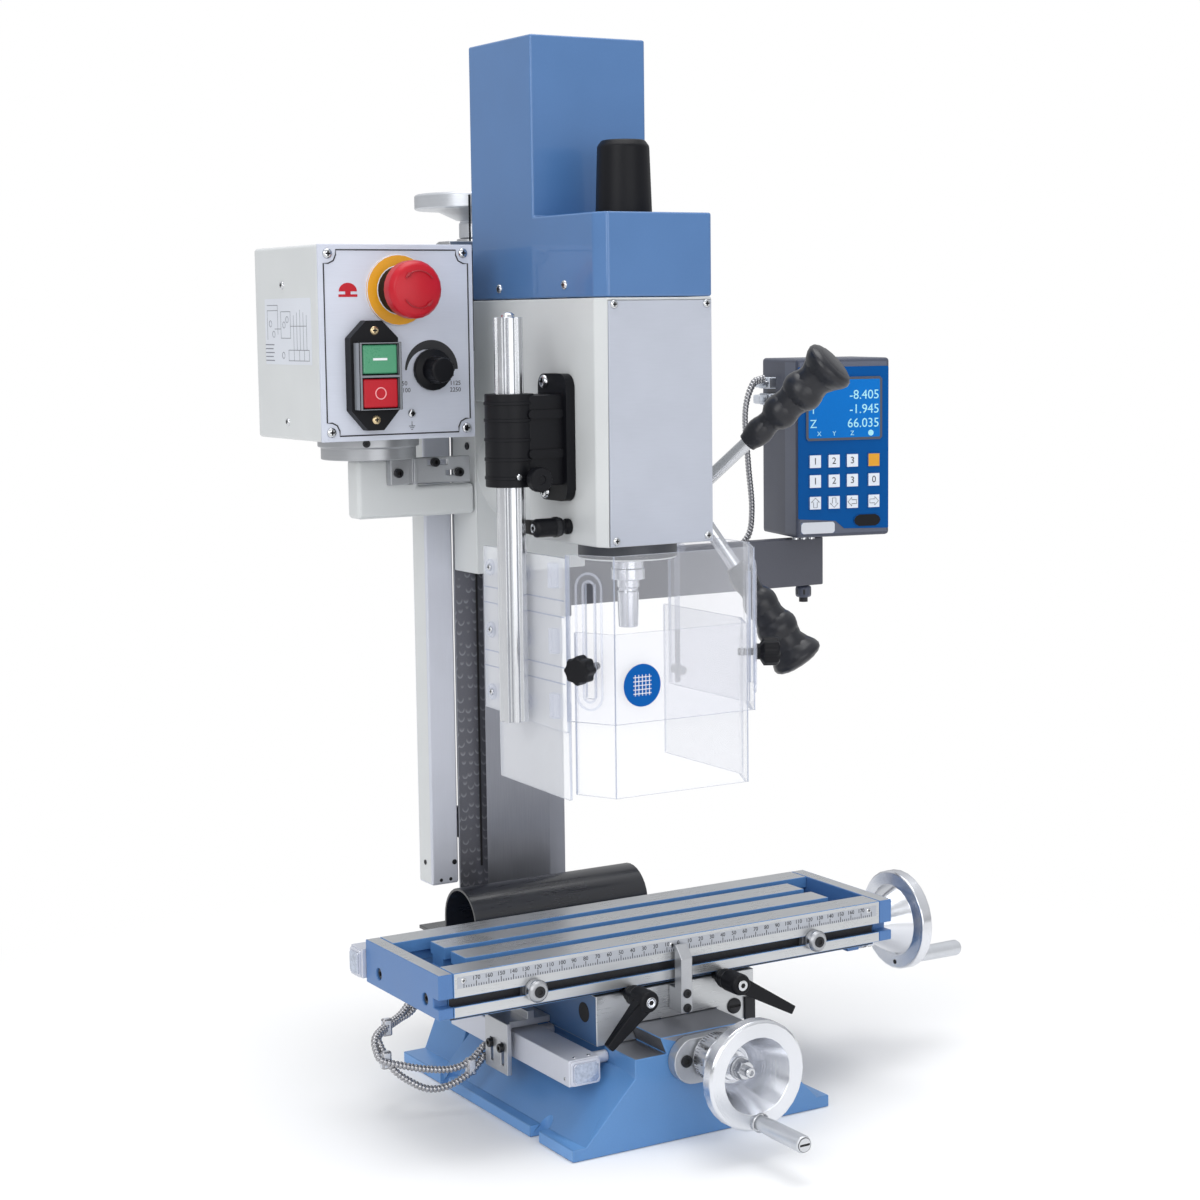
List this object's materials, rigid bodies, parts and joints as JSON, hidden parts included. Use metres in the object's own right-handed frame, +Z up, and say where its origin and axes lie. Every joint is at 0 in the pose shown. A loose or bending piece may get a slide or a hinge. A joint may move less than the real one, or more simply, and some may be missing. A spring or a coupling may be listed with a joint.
{
  "type": "milling machine",
  "caption": "Bench vertical milling machine: dovetail column, tilting head with quill feed, cross table on handwheels, clear guard, switch box and position display.",
  "frame": {"origin": "on the bench face of the base, straight below the spindle axis", "axes": "+X right along the table, +Y back towards the column, +Z up along the spindle"},
  "size_m": [0.5859, 0.5105, 0.8107],
  "materials": {
    "blue_paint": "satin",
    "white_paint": "satin",
    "panel": "satin",
    "ground_iron": "ground",
    "dark_iron": "scraped",
    "aluminium": "brushed",
    "turned_aluminium": "turned",
    "steel": "satin",
    "black_plastic": "matte",
    "grey_plastic": "matte",
    "rubber": "matte",
    "red_plastic": "gloss",
    "green_plastic": "gloss",
    "acrylic": "clear",
    "conduit": "armoured"
  },
  "bodies": {
    "base": {"base_casting": "blue_paint", "column": "dark_iron", "column_top_bracket": "white_paint", "z_scale": "panel", "display_arm": "grey_plastic", "y_scale": "aluminium", "y_bearing_flange": "aluminium", "way_cover": "rubber", "display_leads": "conduit"},
    "saddle": {"saddle": "ground_iron", "table_pointer": "ground_iron", "y_scale_reader": "aluminium", "scale_conduits": "conduit"},
    "left_lever": {"left_clamp_lever": "black_plastic"},
    "right_lever": {"right_clamp_lever": "black_plastic"},
    "table": {"table": "ground_iron", "table_end_left": "blue_paint", "table_end_right": "blue_paint", "x_scale": "aluminium"},
    "left_stop": {"left_stop": "steel"},
    "right_stop": {"right_stop": "steel"},
    "x_wheel": {"x_handwheel": "turned_aluminium", "x_leadscrew": "steel"},
    "x_crank": {"x_crank_handle": "turned_aluminium"},
    "y_wheel": {"y_handwheel": "turned_aluminium", "y_leadscrew": "steel"},
    "y_crank": {"y_crank_handle": "turned_aluminium"},
    "z_wheel": {"z_handwheel": "turned_aluminium", "z_leadscrew": "steel"},
    "z_slide": {"z_slide": "white_paint", "control_arm": "white_paint", "swivel_disc": "aluminium", "z_scale_reader": "aluminium"},
    "control_box": {"control_box": "white_paint", "control_panel": "panel", "switch_plate": "black_plastic"},
    "estop": {"estop_button": "red_plastic"},
    "start_key": {"start_button": "green_plastic"},
    "stop_key": {"stop_button": "red_plastic"},
    "speed_knob": {"speed_knob": "black_plastic"},
    "head": {"head_casting": "white_paint", "front_panel": "panel", "head_cover": "blue_paint", "motor": "black_plastic", "rod_holder": "black_plastic", "drive_belt": "rubber"},
    "drawbar_cap": {"drawbar_cap": "black_plastic"},
    "motor_pulley": {"motor_pulley": "aluminium"},
    "spindle_pulley": {"spindle_pulley": "aluminium"},
    "quill": {"quill": "steel"},
    "spindle": {"spindle": "steel"},
    "capstan": {"feed_capstan": "black_plastic"},
    "quill_lock": {"quill_lock_lever": "black_plastic"},
    "guard_arm": {"guard_rod": "aluminium", "guard_left_plate": "acrylic", "guard_front_panel": "acrylic"},
    "guard_lower": {"guard_lower_panel": "acrylic"},
    "guard_knob_left": {"guard_knob_left": "black_plastic"},
    "guard_knob_right": {"guard_knob_right": "black_plastic"},
    "display": {"display_case": "grey_plastic"}
  },
  "joints": [
    {"name": "y_handwheel_turn", "type": "hinge", "parent": "base", "child": "y_wheel", "pos_m": [0, -0.12, 0.063], "axis": [0, -1, 0], "range_deg": [-9018, 9018]},
    {"name": "saddle_slide", "type": "slide", "parent": "base", "child": "saddle", "axis": [0, 1, 0], "range_m": [-0.05, 0.05], "deforming": ["way_cover"]},
    {"name": "y_crank_spin", "type": "hinge", "parent": "y_wheel", "child": "y_crank", "pos_m": [0.001, -0.2, 0.029], "axis": [0, -1, 0], "continuous": true},
    {"name": "x_handwheel_turn", "type": "hinge", "parent": "table", "child": "x_wheel", "pos_m": [0.23, -0.006, 0.106], "axis": [1, 0, 0], "range_deg": [-19638, 19638]},
    {"name": "table_slide", "type": "slide", "parent": "saddle", "child": "table", "axis": [1, 0, 0], "range_m": [-0.109, 0.109]},
    {"name": "x_crank_spin", "type": "hinge", "parent": "x_wheel", "child": "x_crank", "pos_m": [0.28, -0.0155, 0.076], "axis": [1, 0, 0], "continuous": true},
    {"name": "z_handwheel_turn", "type": "hinge", "parent": "base", "child": "z_wheel", "pos_m": [0, 0.235, 0.69], "axis": [0, 0, 1], "range_deg": [-18936, 14436]},
    {"name": "z_slide_travel", "type": "slide", "parent": "base", "child": "z_slide", "axis": [0, 0, 1], "range_m": [-0.105, 0.08]},
    {"name": "left_clamp_turn", "type": "hinge", "parent": "saddle", "child": "left_lever", "pos_m": [-0.0435, -0.08, 0.1058], "axis": [0, 1, 0], "range_deg": [0, 70]},
    {"name": "right_clamp_turn", "type": "hinge", "parent": "saddle", "child": "right_lever", "pos_m": [0.037, -0.08, 0.1058], "axis": [0, -1, 0], "range_deg": [0, 60]},
    {"name": "left_stop_slide", "type": "slide", "parent": "table", "child": "left_stop", "axis": [-1, 0, 0], "range_m": [-0.09, 0.05]},
    {"name": "right_stop_slide", "type": "slide", "parent": "table", "child": "right_stop", "axis": [-1, 0, 0], "range_m": [-0.05, 0.09]},
    {"name": "control_box_swivel", "type": "hinge", "parent": "z_slide", "child": "control_box", "pos_m": [-0.1393, 0.157, 0.56], "axis": [0, 0, -1], "range_deg": [-40, 0]},
    {"name": "estop_press", "type": "slide", "parent": "control_box", "child": "estop", "axis": [0, 1, 0], "range_m": [0, 0.004], "stiffness_N_per_m": 800},
    {"name": "start_press", "type": "slide", "parent": "control_box", "child": "start_key", "axis": [0, 1, 0], "range_m": [0, 0.0022], "stiffness_N_per_m": 500},
    {"name": "stop_press", "type": "slide", "parent": "control_box", "child": "stop_key", "axis": [0, 1, 0], "range_m": [0, 0.0022], "stiffness_N_per_m": 500},
    {"name": "speed_knob_turn", "type": "hinge", "parent": "control_box", "child": "speed_knob", "pos_m": [-0.113, 0.09, 0.563], "axis": [0, -1, 0], "range_deg": [0, 270]},
    {"name": "head_tilt", "type": "hinge", "parent": "z_slide", "child": "head", "pos_m": [0, 0.1, 0.482], "axis": [0, -1, 0], "range_deg": [-45, 8]},
    {"name": "drawbar_cap_lift", "type": "slide", "parent": "head", "child": "drawbar_cap", "axis": [0, 0, 1], "range_m": [0, 0.06]},
    {"name": "spindle_pulley_spin", "type": "hinge", "parent": "head", "child": "spindle_pulley", "pos_m": [0, 0, 0.634], "axis": [0, 0, 1], "continuous": true},
    {"name": "motor_pulley_spin", "type": "hinge", "parent": "head", "child": "motor_pulley", "pos_m": [0, 0.0984, 0.634], "axis": [0, 0, 1], "continuous": true},
    {"name": "quill_feed", "type": "hinge", "parent": "head", "child": "capstan", "pos_m": [0.06, 0.0338, 0.46], "axis": [1, 0, 0], "range_deg": [0, 286.4]},
    {"name": "quill_slide", "type": "slide", "parent": "head", "child": "quill", "axis": [0, 0, -1], "range_m": [0, 0.05]},
    {"name": "spindle_spin", "type": "hinge", "parent": "quill", "child": "spindle", "pos_m": [0, 0, 0.45], "axis": [0, 0, 1], "continuous": true},
    {"name": "quill_lock_turn", "type": "hinge", "parent": "head", "child": "quill_lock", "pos_m": [-0.07, 0, 0.447], "axis": [1, 0, 0], "range_deg": [0, 25]},
    {"name": "guard_swing", "type": "hinge", "parent": "head", "child": "guard_arm", "pos_m": [-0.093, 0.012, 0.45], "axis": [0, 0, -1], "range_deg": [0, 55]},
    {"name": "guard_lower_slide", "type": "slide", "parent": "guard_arm", "child": "guard_lower", "axis": [0, 0, -1], "range_m": [-0.055, 0.02]},
    {"name": "guard_knob_left_turn", "type": "hinge", "parent": "guard_lower", "child": "guard_knob_left", "pos_m": [-0.0712, -0.062, 0.35], "axis": [-0.8729, -0.4879, 0], "range_deg": [0, 180]},
    {"name": "guard_knob_right_turn", "type": "hinge", "parent": "guard_lower", "child": "guard_knob_right", "pos_m": [0.0712, -0.062, 0.35], "axis": [0.8729, -0.4879, 0], "range_deg": [0, 180]},
    {"name": "display_swivel", "type": "hinge", "parent": "base", "child": "display", "pos_m": [0.308, 0.202, 0.48], "axis": [0, 0, 1], "range_deg": [-25, 25]}
  ],
  "couplings": [
    {"joint": "y_handwheel_turn", "follows": "saddle_slide", "rad_per_m": 3141.6},
    {"joint": "x_handwheel_turn", "follows": "table_slide", "rad_per_m": 3141.6},
    {"joint": "z_handwheel_turn", "follows": "z_slide_travel", "rad_per_m": 3141.6},
    {"joint": "motor_pulley_spin", "follows": "spindle_pulley_spin", "ratio": 1.8667},
    {"joint": "spindle_spin", "follows": "spindle_pulley_spin", "ratio": 1},
    {"joint": "quill_slide", "follows": "quill_feed", "m_per_rad": 0.01}
  ]
}
